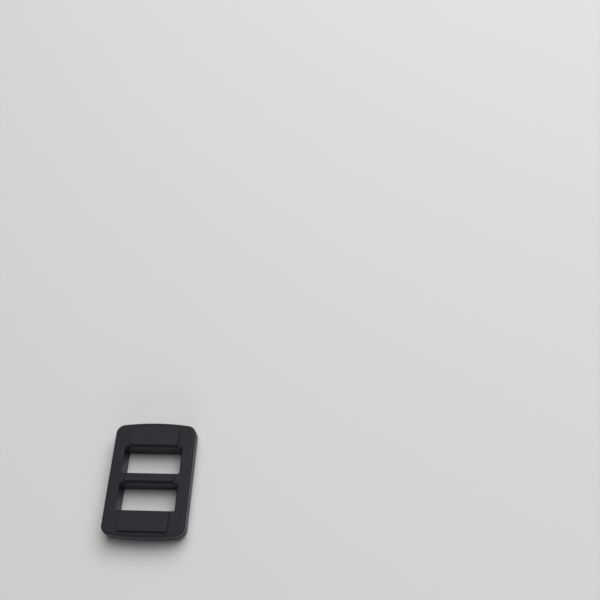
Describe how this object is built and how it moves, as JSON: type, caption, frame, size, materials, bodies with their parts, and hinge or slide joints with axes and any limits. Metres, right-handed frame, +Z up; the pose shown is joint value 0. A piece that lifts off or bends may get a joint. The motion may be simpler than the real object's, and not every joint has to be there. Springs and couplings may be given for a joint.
{
  "type": "strap slider",
  "caption": "Flat strap slider: a rounded rectangular frame with a cross bar between its slots and raised grip pads, for setting the length of narrow webbing on garments and bags.",
  "frame": {"origin": "centre of the flat underside, where the slider lies on a surface", "axes": "+X across the strap, +Y along the strap towards the rear end bar, +Z up out of the face with the grip pads"},
  "size_m": [0.0142, 0.02, 0.004],
  "materials": {
    "black_plastic": "satin black moulded plastic with a fine spark-eroded grain"
  },
  "bodies": {
    "root": {"left_rail": "black_plastic", "right_rail": "black_plastic", "front_bar": "black_plastic", "centre_bar": "black_plastic", "rear_bar": "black_plastic", "front_pad": "black_plastic", "centre_pad": "black_plastic", "rear_pad": "black_plastic"}
  },
  "joints": []
}
